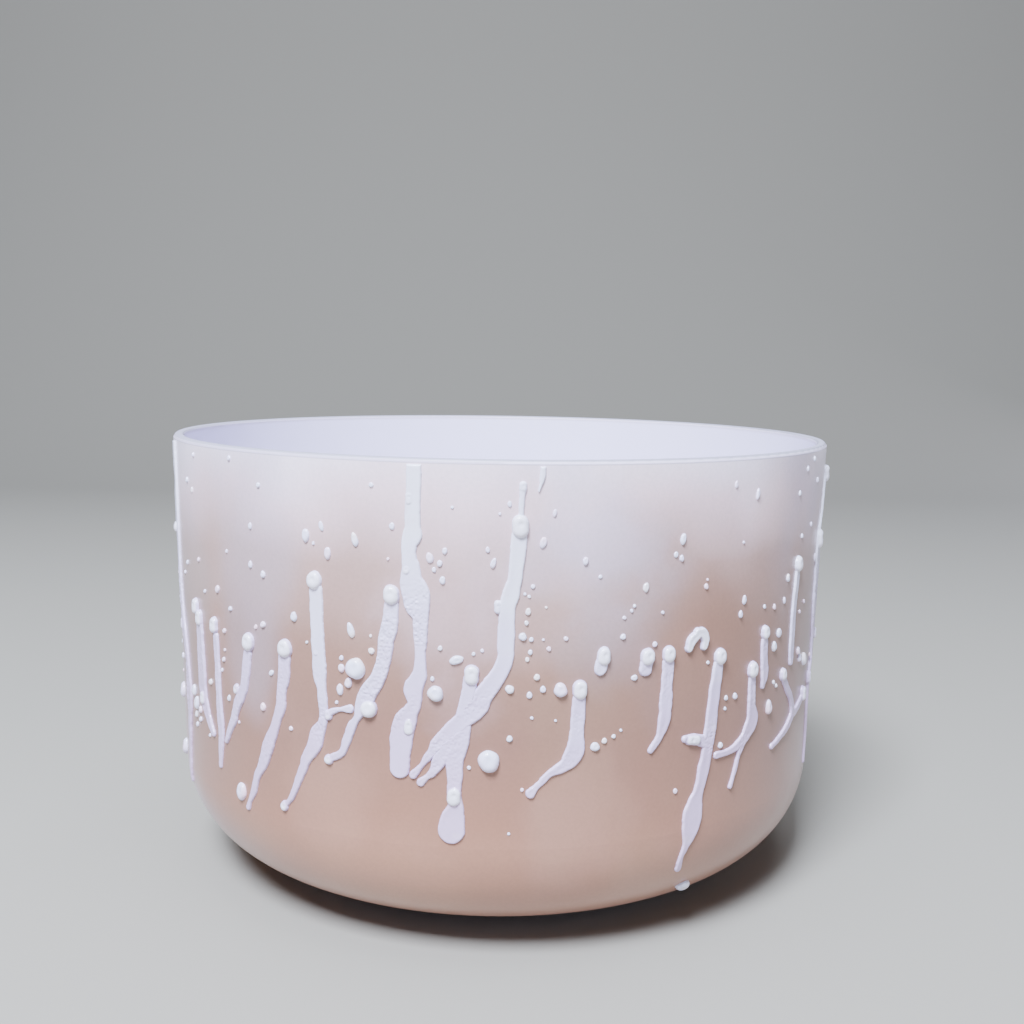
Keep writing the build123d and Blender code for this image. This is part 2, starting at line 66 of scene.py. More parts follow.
# Each drip is its runs and its beads. A run is a list of (azimuth, height, width), from its top down.
# A bead is (azimuth, height, width, length) and may add how far it is tilted, in degrees.
FRONT_DRIPS = {
    "front_drip_01": (
        [
            [
                (-11.8, 170, 4.6), (-11.8, 160, 4.8), (-12, 150, 4.8), (-12, 145, 5.2), (-12.1, 142.5, 6.2),
                (-12.5, 140, 5.3), (-12.5, 136, 5), (-12.2, 132, 6), (-12.2, 128.5, 7.4), (-11.6, 125, 8.8),
                (-11.4, 121.5, 8.4), (-10.9, 117.5, 5.3), (-10.9, 110, 4.5), (-10.9, 106, 3.4),
                (-11, 100, 4.5), (-11.5, 97, 5.6), (-11.9, 94.5, 6.3), (-11.8, 90, 4.7), (-12.4, 87, 5.3),
                (-13.2, 83.5, 7.6), (-13.7, 79, 7.8), (-13.9, 74, 6.9), (-14, 68.4, 6.4),
            ],
        ],
        [(-12.5, 154, 2.4, 4.2), (-12.9, 132, 2.8, 3.2), (-12.6, 82.5, 3.4, 5.6)],
    ),
    "front_drip_02": (
        [
            [(3.1, 158.3, 2.2), (3, 155, 1.8), (2.9, 149, 1.6)],
            [
                (2.75, 144, 4.8), (2.5, 137, 5), (2.15, 130, 4.5), (1.6, 125, 5.3), (1.2, 120, 4.8),
                (1.1, 110, 5.4), (1, 105, 5.2), (0.3, 101, 5.3), (-0.8, 97.2, 5.6), (-1.9, 93.8, 6.2),
                (-2.9, 89.6, 6.6), (-4.6, 86, 5.6), (-6.5, 82, 5), (-8.1, 78.5, 4.4), (-9.6, 73.8, 2.6),
                (-10.9, 69.7, 1.8), (-12, 66.8, 2.6),
            ],
        ],
        [(2.8, 146.3, 5.1, 7.3), (3.1, 158.3, 2.4, 3.4), (-0.1, 121.4, 2.3, 4.2)],
    ),
    "front_drip_03": ([[(5.8, 170, 1.9), (5.75, 162, 1.7), (5.3, 157, 0.8)]], []),
    "front_drip_04": (
        [
            [
                (-3.8, 98.5, 4.4), (-4.3, 92, 4.5), (-4.8, 87, 4.7), (-4.8, 82, 5), (-5.3, 77.5, 5.8),
                (-5.9, 73, 5.7), (-5.9, 67, 5), (-6, 62, 4.6), (-5.8, 57, 5.2), (-6.2, 53, 7.8),
                (-6.4, 49.5, 9),
            ],
            [(-6.4, 78.5, 4.5), (-8, 73, 4.6), (-9, 68.5, 3), (-10, 66.4, 1.7), (-10.9, 64.6, 2.6)],
        ],
        [(-3.65, 100, 4.7, 6.5), (-6, 60.7, 4.6, 6.4)],
    ),
    "front_drip_05": (
        [
            [
                (-15.1, 121, 4.6), (-15.3, 115, 5.5), (-15.9, 110, 5.3), (-16.2, 104, 4.8), (-16.9, 99, 5),
                (-17.5, 96, 5.2), (-18.5, 93, 5.8), (-19.2, 90, 6), (-19.9, 87, 4.5), (-20.6, 83.5, 2.6),
                (-21.5, 80, 3.3), (-22.3, 75.5, 3), (-23, 71.5, 2.6), (-24.9, 68.8, 2.4),
            ],
        ],
        [(-15.1, 124, 5.2, 6.3), (-15.6, 117, 2.2, 2.8), (-18.7, 87, 5.8, 5.8), (-25.4, 68.3, 3.4, 3.4)],
    ),
    "front_drip_06": (
        [
            [
                (-27.1, 123.5, 4.9), (-27, 112, 5), (-26.8, 102, 5.2), (-26.7, 96, 5), (-26.4, 91.5, 3.6),
                (-26.2, 84, 3.4), (-26.4, 80, 3.6), (-27.3, 76, 5.5), (-27.8, 72.5, 5.6), (-29.4, 67, 3.8),
                (-30.3, 62.5, 3.3), (-32.1, 54, 2.4), (-33.2, 50.6, 1.9), (-33.9, 49.2, 2),
            ],
            [(-25.6, 83.2, 2.4), (-24.2, 84.8, 2), (-23, 85.6, 1.7), (-21.7, 86.1, 2.8)],
        ],
        [(-27.3, 126.3, 5.3, 6.1), (-27.2, 103, 2.3, 2.5), (-25.3, 83, 2.8, 3.4), (-33.9, 49, 3.2, 3.6)],
    ),
    "front_drip_07": (
        [
            [
                (-33.2, 99.5, 5), (-33.4, 93, 5), (-33.9, 88.5, 4.1), (-34.2, 83, 4.3), (-35, 78, 3.8),
                (-35.8, 74, 4), (-36.7, 70, 5), (-37.6, 65.5, 5), (-38.5, 61, 4), (-39.8, 56.5, 3),
                (-40.7, 51, 2.8), (-41.8, 46.5, 1.9), (-42.3, 44, 2.4),
            ],
        ],
        [(-33, 102.5, 5.4, 6.2)],
    ),
    "front_drip_08": (
        [
            [
                (-41.3, 98, 4), (-41.9, 91, 4), (-42.4, 86, 4), (-43.4, 82.5, 4.4), (-44.5, 78.5, 4),
                (-45.6, 73, 3.4), (-46.6, 69.5, 3), (-47.4, 66.5, 2.4), (-48, 64, 1.6),
            ],
        ],
        [(-40.9, 102, 5.2, 6.2), (-44.4, 84.3, 3, 3.6)],
    ),
    "front_drip_09": (
        [
            [
                (-50.3, 100, 3.4), (-50, 88, 3.2), (-50, 80, 3.4), (-49.8, 72, 4.2), (-49.6, 66, 3.8),
                (-49.9, 60, 3), (-50.2, 54, 1.8),
            ],
        ],
        [(-50.6, 104, 4.2, 6)],
    ),
    "front_drip_10": (
        [
            [
                (-56.4, 101.5, 5), (-56.4, 93, 5.8), (-56.2, 85, 6.2), (-56.2, 79, 6.4), (-55.8, 75, 6),
                (-54.2, 69.5, 4), (-52.4, 64.5, 2.6),
            ],
        ],
        [(-57.9, 107.8, 4.2, 5.8), (-56.3, 104.2, 4.2, 6), (-55.8, 75.6, 3.8, 5.4)],
    ),
    "front_drip_11": (
        [
            [
                (-69.8, 170, 5), (-69.6, 150, 4.6), (-69.6, 133, 5.2), (-69.3, 118, 4.2), (-68.8, 108, 4.6),
                (-67.6, 98, 5.6), (-66, 91, 4.6), (-65, 85, 4), (-64.8, 78, 6.4), (-64.6, 73, 7.8),
                (-64.8, 67, 6), (-65, 62, 4.2), (-65.8, 50, 3.4), (-66.6, 38, 2.6),
            ],
        ],
        [(-70.2, 132.5, 4.4, 4.4), (-68.2, 97, 3, 4.6)],
    ),
    "front_drip_12": ([[(14.9, 104, 4.2), (14.6, 101.4, 4.1)]], [(15.1, 105.4, 4.4, 6)]),
    "front_drip_13": ([[(21.8, 102.6, 4.6), (21.6, 100.2, 4.4)]], [(21.9, 104.2, 4.8, 5.6)]),
    "front_drip_14": (
        [
            [
                (25.4, 101.5, 4.3), (25.3, 95, 4.2), (25.3, 90, 4.6), (25.2, 85, 4.7), (25, 81.5, 4.2),
                (24.6, 78.5, 3), (24, 76, 2.3), (23, 73.2, 2.2),
            ],
        ],
        [(25.4, 104.3, 4.7, 5.6)],
    ),
    "front_drip_15": (
        [
            [(30.5, 110, 3.4), (29.3, 108, 3.2), (28.8, 105.4, 2.4)],
            [(30.3, 110.2, 3.4), (31.3, 109.8, 3.6), (31.8, 107.6, 3), (31.6, 105.4, 2.4)],
        ],
        [],
    ),
    "front_drip_16": (
        [
            [
                (34.8, 98.5, 4.2), (34.4, 91, 4.6), (34.1, 84, 4.9), (33.8, 76, 5), (33.5, 70.5, 4.6),
                (33, 65, 4.8), (32.5, 60, 4.4), (32.1, 56.5, 4.2), (31.6, 53.5, 5.6), (31.2, 49, 8.2),
                (31, 45.5, 7.6), (30.7, 41.5, 5), (30.3, 38.5, 3), (29.8, 34.5, 1.9), (29.9, 29.5, 2.5),
            ],
            [(33.4, 72.5, 4.2), (31.6, 74, 3.8), (30.4, 74.8, 3.4), (29, 75.2, 2.6)],
        ],
        [(35, 101.1, 4.8, 5.6), (30.5, 74.6, 3.8, 6.2, 82)],
    ),
    "front_drip_17": (
        [
            [
                (42.8, 91.5, 3.8), (43, 82, 3.8), (43.3, 79, 5), (43.5, 76, 6.4), (42.6, 73, 5.6),
                (41.4, 70.3, 4.2), (39.8, 68.5, 3), (37.8, 67.5, 2.4), (35.4, 67.3, 2.4),
            ],
            [(41.9, 71.5, 4), (40.6, 66, 2.1), (39.9, 61, 1.7), (39.4, 58, 1.5), (38.9, 55, 1.8)],
        ],
        [(42.7, 94, 4.8, 5.8)],
    ),
    "front_drip_18": (
        [[(45.6, 103, 3.6), (45.8, 96, 3.8), (46.2, 91, 3.9), (45.8, 87, 2)]],
        [(45.6, 105.8, 4.2, 5)],
    ),
    "front_drip_19": (
        [
            [
                (11.65, 92, 4.3), (11.5, 84, 4.6), (11.4, 79, 5), (11.2, 75.3, 6.2), (10.6, 72.8, 5.6),
                (9.8, 71, 4.2), (8.6, 69.3, 3), (7.4, 67.8, 2.4), (5.8, 64.2, 2), (4.9, 62, 3.1),
            ],
        ],
        [(11.7, 95, 4.7, 6.3), (12, 85.3, 1.7, 1.9)],
    ),
    "front_drip_20": (
        [[(55.6, 124, 3.6), (55, 110, 3.5), (55.1, 98, 3.6), (55.2, 91.5, 3)]],
        [(55.6, 126.6, 4.6, 5.6)],
    ),
    "front_drip_21": (
        [
            [
                (52.6, 87, 3), (54.5, 82, 3), (56.6, 77, 3), (57.4, 71.5, 3.4), (55.2, 67.5, 3),
                (53, 65.5, 2.6), (51, 64, 2), (50, 63.5, 2.4),
            ],
            [(62.5, 74.5, 3), (60, 72.2, 3), (57.6, 71, 3)],
        ],
        [(52.3, 88.3, 3.8, 4.6), (63, 76, 4.2, 5.8)],
    ),
    "front_drip_22": (
        [
            [
                (74, 153, 3), (72, 148, 1.9), (70.6, 141, 1.8), (69, 135.5, 3), (68.6, 130, 6),
                (68.8, 124, 8.2), (69, 115, 8.6), (69.2, 106, 8.2), (69.6, 98, 6.4), (69.6, 92, 3.6),
                (69.4, 86, 2.8), (68, 79, 2.6), (68.6, 66, 2), (69.2, 55, 1.6), (69.3, 46, 2),
            ],
        ],
        [(74.4, 154.8, 4.4, 6.8), (68.4, 131.8, 5, 7.2), (71.1, 95, 3.8, 4.8), (67.7, 79.6, 3.4, 5.4)],
    ),
}

# The back repeats the kinds of drip on the front. Each entry is the front drip it follows, the azimuth of
# its head, how far it is raised, and whether its course is mirrored.
BACK_DRIPS = [
    ("front_drip_07", 96, 6, False), ("front_drip_06", 108, -3, False), ("front_drip_14", 118, 4, True),
    ("front_drip_16", 125, 7, True), ("front_drip_01", 137, 0, False), ("front_drip_08", 144, 9, True),
    ("front_drip_04", 157, 3, True), ("front_drip_02", 169, 0, True), ("front_drip_09", 188, 12, False),
    ("front_drip_19", 193, 6, True), ("front_drip_06", 211, 2, False), ("front_drip_14", 221, 9, False),
    ("front_drip_17", 227, -2, True), ("front_drip_05", 239, -6, True), ("front_drip_01", 256, 0, True),
    ("front_drip_16", 267, 2, False), ("front_drip_09", 273, -5, True),
]

# Loose droplets on the front: (azimuth, height, width, length), with a tilt in degrees where they lean.
FRONT_DROPLETS = [
    (-20.7, 99.5, 6.4, 7), (-23, 99, 2.4, 2.6), (-21.9, 94.5, 2.6, 3.2), (-1.1, 72.5, 6.6, 7.4),
    (-8.75, 93.6, 4.9, 5.1), (-5.8, 104.5, 2.6, 4.8, -76), (-21.4, 111.5, 2.3, 5.2, 20),
    (8.9, 95.2, 4.4, 4.4), (1.7, 95.6, 2.8, 2.8), (14.2, 76.3, 3, 3), (48.1, 78.5, 3.2, 5),
    (33.7, 19.5, 4.6, 5.4, 90), (62.2, 89.4, 3.3, 4.8), (59.5, 91, 2.3, 2.8), (50, 104, 2.6, 3.4),
    (48.7, 99.7, 2.6, 3.4),
    (-44.5, 162.3, 1.6, 2), (-56.5, 161.5, 1.5, 1.5), (-37.7, 154.7, 1.6, 1.8), (-57.8, 149, 1.5, 2),
    (-18.7, 162, 1.4, 3.4, 8), (-18, 157.5, 1.5, 1.7), (-39.8, 141, 1.6, 2.2), (-26, 143.7, 1.6, 3.2, 20),
    (-28.7, 140.3, 2.8, 4.2), (-20.6, 140.3, 2.2, 4.4, 14), (-25, 135.3, 2.5, 3.8), (-27.4, 138, 1, 1.2),
    (-46, 131, 1.2, 1.3), (-40, 128.2, 1.8, 2.4), (-37.2, 125.7, 2, 2.4, 25), (-15, 145.2, 1.7, 2.4),
    (-15.6, 135, 1, 1), (-62, 122, 1.5, 1.7), (-53.8, 114.6, 1.4, 1.4), (-49.2, 117, 2.2, 2.8),
    (-45.5, 111.6, 1.7, 1.7), (-31.2, 113.5, 2.4, 3.2), (-37.5, 109, 2.2, 2.2), (-39.2, 107.6, 1.6, 1.6),
    (-47.5, 103.2, 1.8, 1.8), (-47.6, 96.5, 1.2, 1.2), (-48, 93, 1.6, 1.8), (-48.7, 89, 1.2, 1.3),
    (-36, 93.3, 1.8, 2.2, -50), (-28.9, 105.8, 1, 1), (-18.2, 105.6, 2.1, 2.1, 40), (-18.3, 110.4, 1, 1.1),
    (-23, 102.3, 1.6, 1.6), (-23.3, 92, 2.4, 3.6), (-23.9, 87.6, 1.2, 1.2), (-38, 81, 2.4, 2.8),
    (-32.3, 76, 1.6, 1.6), (-44.2, 72.8, 1, 1.1), (-60, 63.3, 1.8, 2), (-54, 62.8, 1.4, 1.4),
    (-52.8, 82.8, 2, 2.2), (-46.8, 80, 1.8, 2.2), (-61, 75.5, 3, 4.2),
    (-6.5, 151.7, 1, 1.1), (1.3, 153, 1.3, 2), (0, 150, 0.9, 1), (7.5, 150.3, 1.2, 2.6, -8),
    (6, 141.3, 2.1, 3.8, -14), (-7.5, 138.3, 1.6, 2.2), (-1.6, 139, 1.4, 1.9), (-9.6, 136, 2.3, 3.5, 10),
    (-8.2, 134.4, 1.7, 2.2), (-0.8, 134.9, 1.8, 3.3, -14), (-9, 132.4, 1.3, 1.8), (12, 135.5, 1.8, 2.6),
    (-7.8, 129.2, 1.8, 2.7), (14.2, 130.5, 1.3, 1.3), (4.7, 127.8, 1.4, 1.5), (3.6, 125.5, 1, 1),
    (4.2, 124.7, 1.1, 1.1), (6.6, 121.3, 0.9, 0.9), (4.1, 120, 1.8, 2.3), (3.9, 116.5, 1.4, 1.5),
    (3.4, 112.2, 2.4, 2.6), (4.6, 111.3, 1.5, 1.5), (6.3, 111.2, 0.9, 0.9), (9.5, 111.4, 1.5, 1.5),
    (7.1, 108.3, 1.5, 1.6), (4.5, 107.3, 1.5, 1.6), (4.1, 105, 1.4, 1.5), (-2.2, 107.7, 1.2, 1.2),
    (-3.4, 106.6, 1.2, 1.2), (-8.1, 108, 1.6, 1.6), (5.5, 99.4, 2, 2), (-9.2, 98.2, 1.4, 1.5),
    (6.4, 95.5, 2, 2.1), (4.5, 93.7, 1.9, 2.1), (4.9, 86.4, 1.1, 1.1), (8.3, 85.4, 0.9, 0.9),
    (1.8, 79.8, 2, 2), (-3.9, 70.2, 1.3, 1.3), (3.7, 63.2, 1.2, 1.2), (1.9, 48.8, 1, 1),
    (15.6, 78, 1.8, 1.8), (17, 79.2, 1.4, 1.4), (18.1, 81, 1, 1), (36.6, 157.2, 1.3, 2.6),
    (41.6, 153.5, 1.6, 3.8, -8), (54.5, 151.5, 1.5, 2), (57.4, 159.5, 1.3, 2), (27, 141, 2.1, 3.6, -8),
    (25.9, 136.2, 1.5, 2), (26.9, 134.9, 1.5, 2.3), (56.7, 136, 1.4, 1.8), (38.9, 138, 1, 1),
    (21.2, 126.4, 2, 3.2, -14), (31.6, 125, 1.5, 2), (31.8, 127.2, 0.9, 0.9), (39.8, 118.6, 1.7, 3.2),
    (39.1, 114, 1.7, 2.6, -8), (19.5, 120.8, 1.1, 1.1), (19.1, 119.3, 1.1, 1.2), (18, 117.2, 1.3, 1.3),
    (24.1, 118, 1.2, 1.2), (17.9, 111.2, 1.9, 1.9), (23, 108, 1.7, 1.7), (45.1, 114.8, 1.3, 1.5),
    (48, 113.8, 1.3, 2.2), (58, 108.5, 1.3, 1.5), (32.7, 99.7, 1.2, 1.2), (19.9, 97.7, 1.8, 2.3, 90),
    (36.9, 86.4, 1.6, 1.7), (38.9, 86.3, 1.9, 2.2), (36.8, 82.8, 1.1, 1.2), (36.2, 70.5, 1.9, 2),
    (27.7, 58.1, 1.5, 2), (49.3, 86.8, 1.4, 1.5), (50.2, 85.2, 1.4, 1.4), (52, 122.6, 1.8, 3),
    (51.2, 115, 1.4, 2.4), (-74, 68, 4.4, 6.4), (-74, 45.5, 4.6, 6.6), (-59.6, 71.6, 3.2, 4.6),
    (-60.2, 67, 2, 2.6),
]
# The back has the same scatter of droplets, turned by these angles and read the other way round.
BACK_TURNS = (118, -118)
BACK_RAISE = 3.0
DROPLET_GAP = 0.3  # least distance between a droplet and its neighbours
CROSSINGS = {"front_drip_04": "front_drip_02"}

DROPLET_GAP = 0.3
SECTORS = ["front", "front_right", "back_right", "back", "back_left", "front_left"]

# Where a drip's skin has wrinkled as it dried: (lowest, highest, depth in millimetres)
WRINKLES = {
    "01": (80, 130, 0.22), "05": (84, 121, 0.26), "02": (64, 98, 0.20), "04": (64, 86, 0.20),
    "16": (64, 82, 0.18), "22": (88, 132, 0.24), "06": (68, 100, 0.14), "11": (60, 120, 0.16),
}
# How many times thicker than the other runs a splash and two short drips are
THICKER = {"15": 1.7, "12": 1.2, "13": 1.2}


# ---------------------------------------------------------------- places and noise


def noise(x, y, size, seed):
    """Smooth value noise from -1 to 1, with bumps of about that size."""
    table = np.random.RandomState(seed).uniform(-1, 1, (64, 64))
    x, y = np.asarray(x) / size + 1000, np.asarray(y) / size + 1000
    column, row = np.floor(x).astype(int), np.floor(y).astype(int)
    fx, fy = x - column, y - row
    fx, fy = fx * fx * (3 - 2 * fx), fy * fy * (3 - 2 * fy)
    low = table[row % 64, column % 64] * (1 - fx) + table[row % 64, (column + 1) % 64] * fx
    high = table[(row + 1) % 64, column % 64] * (1 - fx) + table[(row + 1) % 64, (column + 1) % 64] * fx
    return low * (1 - fy) + high * fy


def on_wall(azimuth, height, outset):
    """Places in metres, from azimuths in degrees and heights and outsets in millimetres."""
    height = np.asarray(height, float)
    below = CORNER_HEIGHT - height
    upper = below <= CORNER_RADIUS * sin(WALL_LEAN)
    across = np.sqrt(np.maximum(CORNER_RADIUS**2 - below**2, 1))
    radius = np.where(upper, RIM_DIAMETER / 2 - (LIP - height) * tan(WALL_LEAN), CORNER_CENTRE + across)
    slope = np.where(upper, -WALL_LEAN, -np.arctan2(below, across))
    reach = radius + outset * np.cos(slope)
    turn = np.radians(azimuth)
    places = (reach * np.sin(turn), -reach * np.cos(turn), height + outset * np.sin(slope))
    return np.stack(places, -1) * MM


def mesh_from(name, vertices, faces):
    """A smooth mesh object from arrays, where a face's repeated last corner makes it a triangle."""
    mesh = bpy.data.meshes.new(name)
    mesh.from_pydata(vertices.tolist(), [], [list(dict.fromkeys(face)) for face in faces.tolist()])
    mesh.polygons.foreach_set("use_smooth", np.ones(len(mesh.polygons), bool))
    mesh.update()
    piece = bpy.data.objects.new(name, mesh)
    bpy.context.scene.collection.objects.link(piece)
    return piece


# ---------------------------------------------------------------- relief lacquer


def smooth_line(run):
    """A run's points, with its width, along a smooth curve through them, close together."""
    points = np.array([(RIM_DIAMETER / 2 * radians(a), h, w) for a, h, w in run])
    ends = np.vstack([2 * points[0] - points[1], points, 2 * points[-1] - points[-2]])
    line = []
    for i in range(len(points) - 1):
        p0, p1, p2, p3 = ends[i : i + 4]
        steps = max(int(np.hypot(*(p2 - p1)[:2]) / 0.3), 2)
        t = np.linspace(0, 1, steps, endpoint=False)[:, None]
        line.append(
            0.5
            * (
                2 * p1
                + (p2 - p0) * t
                + (2 * p0 - 5 * p1 + 4 * p2 - p3) * t**2
                + (3 * p1 - p0 - 3 * p2 + p3) * t**3
            )
        )
    line = np.vstack(line + [points[-1:]])
    line[:, 2] = np.maximum(line[:, 2], 0.6)
    return line


def distance_to_runs(u, v, runs):
    """How far each grid place is outside the runs; less than zero inside."""
    circles = np.vstack([smooth_line(run) for run in runs])
    nearest = np.full(u.shape, 1e3)
    for cu, cv, width in circles:
        rows = np.abs(v[:, 0] - cv) < width / 2 + 2.5
        columns = np.abs(u[0] - cu) < width / 2 + 2.5
        if rows.any() and columns.any():
            window = np.ix_(rows, columns)
            distance = np.hypot(u[window] - cu, v[window] - cv) - width / 2
            nearest[window] = np.minimum(nearest[window], distance)
    return nearest


def bead_shape(u, v, azimuth, height, width, length, tilt=0.0):
    """For one bead: how far each place is outside it, and its height there."""
    turn = radians(tilt)
    du, dv = u - RIM_DIAMETER / 2 * radians(azimuth), v - height
    x, y = du * cos(turn) + dv * sin(turn), -du * sin(turn) + dv * cos(turn)
    # a bead hangs: it is a little fuller at the bottom
    x = x * (1 + 0.07 * y / length)
    past = np.maximum(np.abs(y) - (length - width) / 2, 0)
    distance = np.hypot(x, past) - width / 2
    seed = int(abs(azimuth) * 7 + height)
    distance = distance + 0.035 * width * noise(u, v, width * 0.45, seed)
    share = np.clip(1 + distance / (width / 2), 0, 1)
    rise = 0.42 * width
    dome = rise * np.sqrt(1 - share**2.6) * (0.94 - 0.12 * y / length)
    from_dimple = (x - 0.04 * width) ** 2 + (y - 0.12 * length) ** 2
    dimple = 0.16 * rise * np.exp(-from_dimple / (0.17 * width) ** 2)
    return distance, dome - dimple


def drip_mesh(name, runs, beads, kind, under=None):
    """One drip as one closed mesh: heights above the wall on a fine grid, its edge on the outline."""
    places = [(a, h, w) for run in runs for a, h, w in run] + [(a, h, l) for a, h, w, l, *_ in beads]
    places = np.array(places)
    across = RIM_DIAMETER / 2 * np.radians(places[:, 0])
    margin = places[:, 2] / 2 + 1.5
    us = np.arange((across - margin).min(), (across + margin).max(), GRID)
    vs = np.arange((places[:, 1] - margin).min(), min((places[:, 1] + margin).max(), LIP), GRID)
    u, v = np.meshgrid(us, vs)
    seed = int(abs(places[0, 0]) * 10) + len(runs)

    wobble = EDGE_WOBBLE * (noise(u, v, 2.6, seed) + 0.5 * noise(u, v, 1.1, seed + 1))
    runs_distance = distance_to_runs(u, v, runs) + wobble
    trimmed = np.maximum(runs_distance, v - (LIP - RUN_BARE_LIP))
    inside = np.clip(-trimmed / SHOULDER, 0, 1)
    swell = 1 + 0.14 * noise(u, v, 6, seed + 2)
    lacquer = THICKER.get(kind, 1) * RUN_THICKNESS * swell * np.sqrt(1 - (1 - inside) ** 2)
    # the skin dries a little higher along the edges than in the middle
    trough = np.clip((-trimmed - 0.9) / 1.2, 0, 1)
    lacquer = lacquer * (1 - 0.07 * trough * trough * (3 - 2 * trough))
    low, high, depth = WRINKLES.get(kind, (60, 110, 0.07))
    band = np.clip(np.minimum(v - low, high - v) / 6, 0, 1)
    patchy = np.clip(0.55 + 0.9 * noise(u, v, 7, seed + 3), 0, 1)
    skin = np.minimum(noise(u, v, 0.62, seed + 4), 0.35) + 0.5 * noise(u, v * 0.8, 1.25, seed + 5)
    lacquer = lacquer + (0.014 + depth * band * patchy) * skin * inside

    distance = trimmed
    for place in beads:
        outside, dome = bead_shape(u, v, *place)
        blend = np.clip(0.5 + (dome - lacquer) / 0.3, 0, 1)
        joined = lacquer + (dome - lacquer) * blend + 0.075 * blend * (1 - blend)
        lacquer = np.where(outside < 0, joined, lacquer)
        distance = np.minimum(distance, outside)
    if under is not None:
        above = distance_to_runs(u, v, under)
        distance = np.maximum(distance, -(above + 0.9))

    keep = distance < 0
    cells = keep[:-1, :-1] | keep[1:, :-1] | keep[:-1, 1:] | keep[1:, 1:]
    for _ in range(4):
        corner = cells[:-1, :-1] & cells[1:, 1:] & ~cells[1:, :-1] & ~cells[:-1, 1:]
        other = cells[1:, :-1] & cells[:-1, 1:] & ~cells[:-1, :-1] & ~cells[1:, 1:]
        if not (corner.any() or other.any()):
            break
        cells[1:, :-1] |= corner
        cells[:-1, :-1] |= other

    slope_v, slope_u = np.gradient(distance, GRID)
    steep = np.maximum(np.hypot(slope_u, slope_v), 0.5)
    move = np.where(keep, 0, np.minimum(distance, 0.9 * GRID)) / steep**2
    u, v = u - move * slope_u, v - move * slope_v
    outset = np.where(keep, np.maximum(lacquer, 0.02), 0.0)

    rows, columns = np.nonzero(cells)
    corners = [(rows, columns), (rows, columns + 1), (rows + 1, columns + 1), (rows + 1, columns)]
    width = len(us)
    flat = np.stack([row * width + column for row, column in corners], 1)
    used, index = np.unique(flat, return_inverse=True)
    top = index.reshape(flat.shape)
    azimuth = np.degrees(u.ravel()[used] / (RIM_DIAMETER / 2))
    height = v.ravel()[used]
    upper = on_wall(azimuth, height, outset.ravel()[used])
    lower = on_wall(azimuth, height, -SUNK)
    count = len(used)
    walls = []
    for side, (row_step, column_step) in enumerate([(-1, 0), (0, 1), (1, 0), (0, -1)]):
        near_row, near_column = rows + row_step, columns + column_step
        outer = (near_row < 0) | (near_row >= cells.shape[0])
        outer |= (near_column < 0) | (near_column >= cells.shape[1])
        open_side = outer | ~cells[near_row % cells.shape[0], near_column % cells.shape[1]]
        a, b = top[open_side, side], top[open_side, (side + 1) % 4]
        walls.append(np.stack([a, a + count, b + count, b], 1))
    faces = np.vstack([top, top[:, ::-1] + count, *walls])
    return mesh_from(name, np.vstack([upper, lower]), faces)


def droplet(azimuth, height, width, length, tilt=0.0):
    """One loose droplet: the rings of a dome with a dimple, over a flat underside let into the coat."""
    spokes, rings = 28, 9
    seed = int(abs(azimuth) * 11 + height * 3)
    rng = np.random.RandomState(seed)
    angle = np.linspace(0, 2 * np.pi, spokes, endpoint=False)
    outline = 1 + 0.05 * np.cos(2 * angle + rng.uniform(0, 6))
    outline = outline + 0.035 * np.cos(3 * angle + rng.uniform(0, 6))
    outline = outline + 0.02 * np.cos(5 * angle + rng.uniform(0, 6))
    share = np.sin(np.linspace(0, np.pi / 2, rings + 1))[1:]
    x = np.outer(share, np.cos(angle) * outline) * width / 2
    y = np.outer(share, np.sin(angle) * outline) * length / 2
    x = x * (1 - 0.12 * y / length)
    rise = rng.uniform(0.36, 0.46) * width
    level = rise * np.sqrt(np.maximum(1 - share**2.5, 0))[:, None] * (0.94 - 0.2 * y / length)
    hollow = (x - 0.03 * width) ** 2 / (0.2 * width) ** 2 + (y - 0.1 * length) ** 2 / (0.2 * length) ** 2
    level = level - 0.2 * rise * np.exp(-hollow)
    level[-1] = 0
    centre = 0.94 * rise - 0.2 * rise * np.exp(-0.3)
    x, y = np.append(x.ravel(), [0, 0]), np.append(y.ravel(), [0, 0])
    x = np.append(x, x[(rings - 1) * spokes : rings * spokes])
    y = np.append(y, y[(rings - 1) * spokes : rings * spokes])
    level = np.concatenate([level.ravel(), [centre, -SUNK], np.full(spokes, -SUNK)])
    turn = radians(tilt)
    across, up = x * cos(turn) - y * sin(turn), x * sin(turn) + y * cos(turn)
    below = max(CORNER_HEIGHT - height, 0)
    flatter = sqrt(1 - (below / CORNER_RADIUS) ** 2)
    reach = RIM_DIAMETER / 2 - CORNER_RADIUS * (1 - flatter)
    vertices = on_wall(azimuth + np.degrees(across / reach), height + up * flatter, level)
    faces = []
    ahead = (np.arange(spokes) + 1) % spokes
    here = np.arange(spokes)
    hub, under, foot = rings * spokes, rings * spokes + 1, rings * spokes + 2
    faces.append(np.stack([here, ahead, np.full(spokes, hub), np.full(spokes, hub)], 1))
    for ring in range(rings - 1):
        inner, outer = ring * spokes, (ring + 1) * spokes
        faces.append(np.stack([outer + here, outer + ahead, inner + ahead, inner + here], 1))
    last = (rings - 1) * spokes
    faces.append(np.stack([foot + here, foot + ahead, last + ahead, last + here], 1))
    faces.append(np.stack([foot + ahead, foot + here, np.full(spokes, under), np.full(spokes, under)], 1))
    return vertices, np.vstack(faces)


def moved(places, turn, rise, mirrored):
    """The same places with their azimuths mirrored if asked, then turned, and their heights raised."""
    side = -1 if mirrored else 1
    return [
        (turn + side * azimuth, height + rise, *sizes[:2], *(side * tilt for tilt in sizes[2:]))
        for azimuth, height, *sizes in places
    ]


